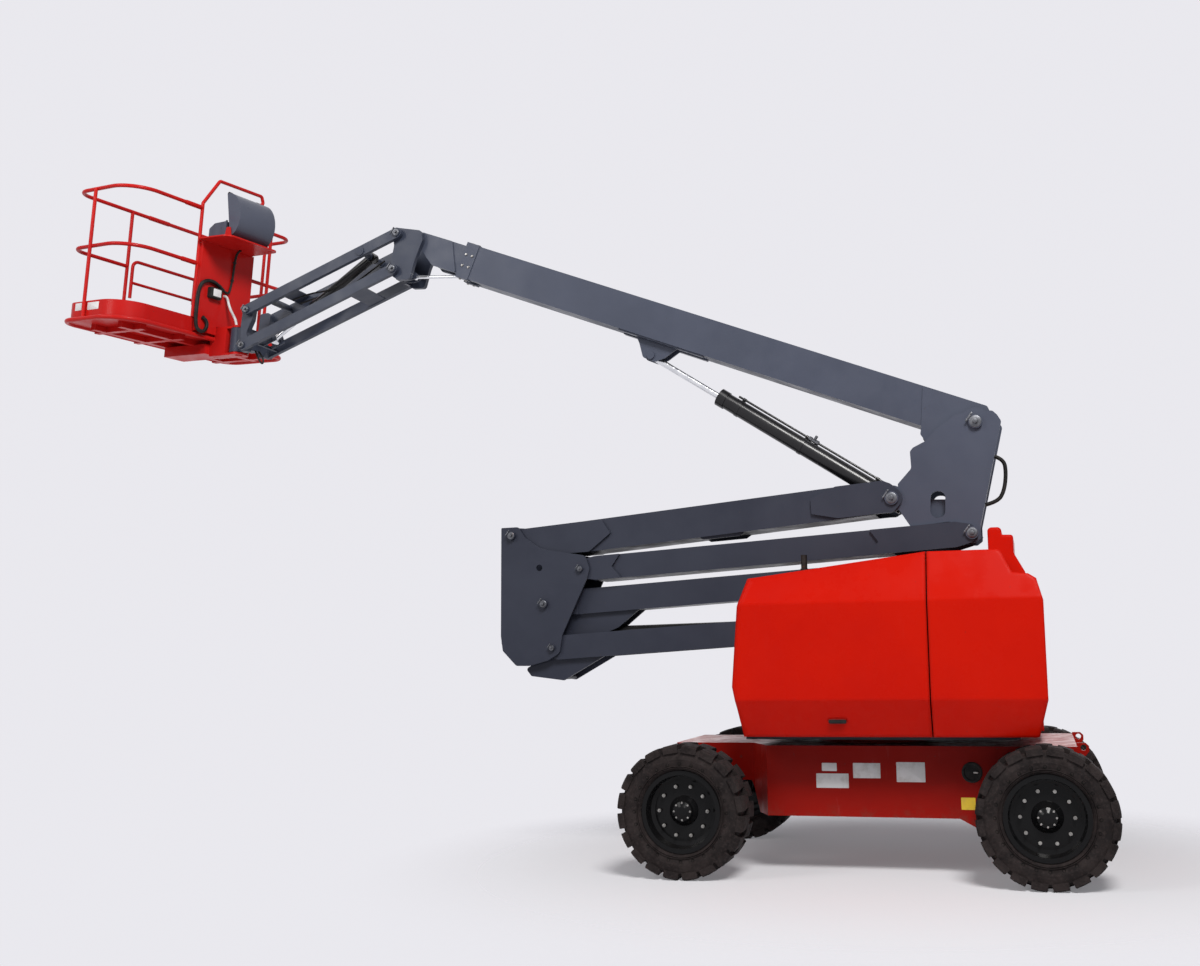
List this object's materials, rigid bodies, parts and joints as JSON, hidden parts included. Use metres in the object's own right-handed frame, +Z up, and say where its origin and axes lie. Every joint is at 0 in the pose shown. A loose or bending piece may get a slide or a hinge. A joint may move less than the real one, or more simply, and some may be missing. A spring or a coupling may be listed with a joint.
{
  "type": "articulating boom lift",
  "caption": "Wheeled boom lift with a slewing turntable, hinged hoods, folding parallelogram tower, telescoping boom, levelled jib and railed work platform.",
  "frame": {"origin": "centre of the bounding box on the ground, below the machine as it parks", "axes": "+X toward the counterweight end, +Y to the far side of the chassis, +Z up; the platform is at -X"},
  "size_m": [8.5723, 2.365, 5.9205],
  "materials": {
    "hood_paint": "semi-gloss red paint",
    "boom_paint": "semi-gloss dark grey paint",
    "frame_paint": "satin dark grey paint",
    "black_steel": "satin black paint",
    "rim_paint": "satin black paint",
    "tyre": "matt worn rubber",
    "engine": "cast",
    "chrome_rod": "polished",
    "platform_paint": "semi-gloss red paint",
    "chassis_paint": "semi-gloss dark red paint",
    "panel_paint": "semi-gloss red paint",
    "console_plastic": "moulded grey",
    "hose": "matt black",
    "sleeve": "white spiral sleeve"
  },
  "bodies": {
    "chassis": {"chassis_frame": "chassis_paint", "front_axle": "frame_paint", "rear_axle": "frame_paint"},
    "knuckle_left": {"steering_knuckle_left": "black_steel"},
    "knuckle_right": {"steering_knuckle_right": "black_steel"},
    "steering_rod": {"steering_rod": "chrome_rod"},
    "wheel_front_left": {"rim_front_left": "rim_paint", "tyre_front_left": "tyre"},
    "wheel_front_right": {"rim_front_right": "rim_paint", "tyre_front_right": "tyre"},
    "wheel_rear_left": {"rim_rear_left": "rim_paint", "tyre_rear_left": "tyre"},
    "wheel_rear_right": {"rim_rear_right": "rim_paint", "tyre_rear_right": "tyre"},
    "turntable": {"turntable_frame": "frame_paint", "counterweight": "hood_paint", "tower_cover": "hood_paint", "engine_block": "engine"},
    "hood_left": {"hood_left": "hood_paint"},
    "hood_right": {"hood_right": "hood_paint"},
    "lower_arm": {"lower_arm": "boom_paint"},
    "lower_link": {"lower_link": "boom_paint"},
    "mid_knuckle": {"mid_knuckle": "boom_paint"},
    "upper_arm": {"upper_arm": "boom_paint"},
    "upper_link": {"upper_link": "boom_paint"},
    "upper_knuckle": {"upper_knuckle": "boom_paint", "knuckle_hose": "hose"},
    "tower_barrel": {"tower_cylinder_barrel": "black_steel"},
    "tower_rod": {"tower_cylinder_rod": "chrome_rod"},
    "main_boom": {"main_boom": "boom_paint"},
    "fly_boom": {"fly_boom": "boom_paint"},
    "lift_barrel": {"lift_cylinder_barrel": "black_steel"},
    "lift_rod": {"lift_cylinder_rod": "chrome_rod"},
    "level_barrel": {"level_cylinder_barrel": "black_steel"},
    "level_rod": {"level_cylinder_rod": "chrome_rod"},
    "jib_knuckle": {"jib_knuckle": "boom_paint"},
    "jib_upper_arm": {"jib_upper_arm": "boom_paint"},
    "jib_lower_arm": {"jib_lower_arm": "boom_paint"},
    "jib_end": {"jib_end": "boom_paint"},
    "jib_barrel": {"jib_cylinder_barrel": "black_steel"},
    "jib_rod": {"jib_cylinder_rod": "chrome_rod"},
    "platform": {"platform_floor": "platform_paint", "platform_rails": "platform_paint", "console_panel": "panel_paint", "control_console": "console_plastic", "platform_hose": "sleeve"},
    "gate": {"platform_gate": "platform_paint"},
    "console_cover": {"console_cover": "console_plastic"}
  },
  "joints": [
    {"name": "steer_left", "type": "hinge", "parent": "chassis", "child": "knuckle_left", "pos_m": [1.37923, -0.762, 0.457], "axis": [0, 0, 1], "range_deg": [-30, 30]},
    {"name": "steer_right", "type": "hinge", "parent": "chassis", "child": "knuckle_right", "pos_m": [1.37923, 0.762, 0.457], "axis": [0, 0, 1], "range_deg": [-30, 30]},
    {"name": "steering_slide", "type": "slide", "parent": "chassis", "child": "steering_rod", "axis": [0, 1, 0], "range_m": [-0.1, 0.1]},
    {"name": "spin_front_left", "type": "hinge", "parent": "knuckle_left", "child": "wheel_front_left", "pos_m": [1.37923, -1.01, 0.457], "axis": [0, 1, 0], "continuous": true},
    {"name": "spin_front_right", "type": "hinge", "parent": "knuckle_right", "child": "wheel_front_right", "pos_m": [1.37923, 1.01, 0.457], "axis": [0, 1, 0], "continuous": true},
    {"name": "spin_rear_left", "type": "hinge", "parent": "chassis", "child": "wheel_rear_left", "pos_m": [3.82923, -1.01, 0.457], "axis": [0, 1, 0], "continuous": true},
    {"name": "spin_rear_right", "type": "hinge", "parent": "chassis", "child": "wheel_rear_right", "pos_m": [3.82923, 1.01, 0.457], "axis": [0, 1, 0], "continuous": true},
    {"name": "slew", "type": "hinge", "parent": "chassis", "child": "turntable", "pos_m": [2.60423, 0, 0.942], "axis": [0, 0, 1], "continuous": true},
    {"name": "hood_left_hinge", "type": "hinge", "parent": "turntable", "child": "hood_left", "pos_m": [1.75423, -0.33, 2.05], "axis": [-0.9927, 0, -0.1209], "range_deg": [0, 60]},
    {"name": "hood_right_hinge", "type": "hinge", "parent": "turntable", "child": "hood_right", "pos_m": [1.75423, 0.33, 2.05], "axis": [0.9927, 0, 0.1209], "range_deg": [0, 60]},
    {"name": "tower_lift", "type": "hinge", "parent": "turntable", "child": "lower_arm", "pos_m": [3.08014, 0, 2.12772], "axis": [0, 1, 0], "range_deg": [0, 58]},
    {"name": "lower_link_pivot", "type": "hinge", "parent": "turntable", "child": "lower_link", "pos_m": [3.14814, 0, 1.77672], "axis": [0, 1, 0], "range_deg": [0, 58]},
    {"name": "mid_knuckle_pivot", "type": "hinge", "parent": "lower_arm", "child": "mid_knuckle", "pos_m": [0.01523, 0, 1.951], "axis": [0, 1, 0], "range_deg": [-58, 0]},
    {"name": "upper_arm_pivot", "type": "hinge", "parent": "mid_knuckle", "child": "upper_arm", "pos_m": [-0.26377, 0, 2.509], "axis": [0, 1, 0], "range_deg": [-58, 0]},
    {"name": "upper_link_pivot", "type": "hinge", "parent": "mid_knuckle", "child": "upper_link", "pos_m": [0.32223, 0, 2.223], "axis": [0, 1, 0], "range_deg": [-58, 0]},
    {"name": "upper_knuckle_pivot", "type": "hinge", "parent": "upper_arm", "child": "upper_knuckle", "pos_m": [2.81112, 0, 2.6863], "axis": [0, 1, 0], "range_deg": [0, 58]},
    {"name": "tower_barrel_pivot", "type": "hinge", "parent": "turntable", "child": "tower_barrel", "pos_m": [2.80423, 0, 1.746], "axis": [0, 1, 0], "range_deg": [0, 61]},
    {"name": "tower_rod_slide", "type": "slide", "parent": "tower_barrel", "child": "tower_rod", "axis": [-0.9998, 0, -0.0175], "range_m": [0, 0.46]},
    {"name": "boom_lift", "type": "hinge", "parent": "upper_knuckle", "child": "main_boom", "pos_m": [3.45523, 0, 3.239], "axis": [0, 1, 0], "range_deg": [-19, 50]},
    {"name": "boom_extend", "type": "slide", "parent": "main_boom", "child": "fly_boom", "axis": [-0.9298, 0, 0.3681], "range_m": [0, 3]},
    {"name": "lift_barrel_pivot", "type": "hinge", "parent": "upper_knuckle", "child": "lift_barrel", "pos_m": [2.90923, 0, 2.617], "axis": [0, 1, 0], "range_deg": [-20, 50]},
    {"name": "lift_rod_slide", "type": "slide", "parent": "lift_barrel", "child": "lift_rod", "axis": [-0.8331, 0, 0.5531], "range_m": [-0.4, 1]},
    {"name": "jib_levelling", "type": "hinge", "parent": "fly_boom", "child": "jib_knuckle", "pos_m": [-1.16599, 0, 5.1332], "axis": [0, 1, 0], "range_deg": [-50, 19]},
    {"name": "level_barrel_pivot", "type": "hinge", "parent": "fly_boom", "child": "level_barrel", "pos_m": [-0.29932, 0, 4.7578], "axis": [0, 1, 0], "range_deg": [-2, 3]},
    {"name": "level_rod_slide", "type": "slide", "parent": "level_barrel", "child": "level_rod", "axis": [-0.9972, 0, 0.0745], "range_m": [-0.275, 0.11]},
    {"name": "jib_lift", "type": "hinge", "parent": "jib_knuckle", "child": "jib_upper_arm", "pos_m": [-1.34677, 0, 5.178], "axis": [0, 1, 0], "range_deg": [-38, 85]},
    {"name": "jib_lower_pivot", "type": "hinge", "parent": "jib_knuckle", "child": "jib_lower_arm", "pos_m": [-1.38077, 0, 4.86], "axis": [0, 1, 0], "range_deg": [-38, 85]},
    {"name": "jib_end_pivot", "type": "hinge", "parent": "jib_upper_arm", "child": "jib_end", "pos_m": [-2.80218, 0, 4.61641], "axis": [0, 1, 0], "range_deg": [-85, 38]},
    {"name": "jib_barrel_pivot", "type": "hinge", "parent": "jib_upper_arm", "child": "jib_barrel", "pos_m": [-1.69196, 0, 5.0448], "axis": [0, 1, 0], "range_deg": [-6, 3]},
    {"name": "jib_rod_slide", "type": "slide", "parent": "jib_barrel", "child": "jib_rod", "axis": [-0.8176, 0, -0.5758], "range_m": [-0.43, 0.195]},
    {"name": "platform_rotate", "type": "hinge", "parent": "jib_end", "child": "platform", "pos_m": [-2.99577, 0, 4.39], "axis": [0.0663, 0, 0.9978], "range_deg": [-65, 94]},
    {"name": "gate_hinge", "type": "hinge", "parent": "platform", "child": "gate", "pos_m": [-3.86665, 0.56212, 4.98402], "axis": [0.0663, 0, 0.9978], "range_deg": [0, 65]},
    {"name": "console_cover_hinge", "type": "hinge", "parent": "platform", "child": "console_cover", "pos_m": [-2.96525, 0.00907, 5.37514], "axis": [-0.2515, -0.9677, 0.0167], "range_deg": [0, 79]}
  ],
  "couplings": [
    {"joint": "steer_right", "follows": "steer_left", "ratio": 1},
    {"joint": "steering_slide", "follows": "steer_left", "m_per_rad": -0.19},
    {"joint": "lower_link_pivot", "follows": "tower_lift", "ratio": 1},
    {"joint": "mid_knuckle_pivot", "follows": "tower_lift", "ratio": -1},
    {"joint": "upper_arm_pivot", "follows": "tower_lift", "ratio": -1},
    {"joint": "upper_link_pivot", "follows": "tower_lift", "ratio": -1},
    {"joint": "upper_knuckle_pivot", "follows": "tower_lift", "ratio": 1},
    {"joint": "tower_barrel_pivot", "follows": "tower_lift", "ratio": 1.04},
    {"joint": "tower_rod_slide", "follows": "tower_lift", "m_per_rad": 0.443},
    {"joint": "lift_barrel_pivot", "follows": "boom_lift", "ratio": 0.94},
    {"joint": "lift_rod_slide", "follows": "boom_lift", "m_per_rad": 1.129},
    {"joint": "jib_levelling", "follows": "boom_lift", "ratio": -1},
    {"joint": "level_barrel_pivot", "follows": "boom_lift", "ratio": 0.037},
    {"joint": "level_rod_slide", "follows": "boom_lift", "m_per_rad": -0.307},
    {"joint": "jib_lower_pivot", "follows": "jib_lift", "ratio": 1},
    {"joint": "jib_end_pivot", "follows": "jib_lift", "ratio": -1},
    {"joint": "jib_barrel_pivot", "follows": "jib_lift", "ratio": -0.063},
    {"joint": "jib_rod_slide", "follows": "jib_lift", "m_per_rad": -0.285}
  ]
}
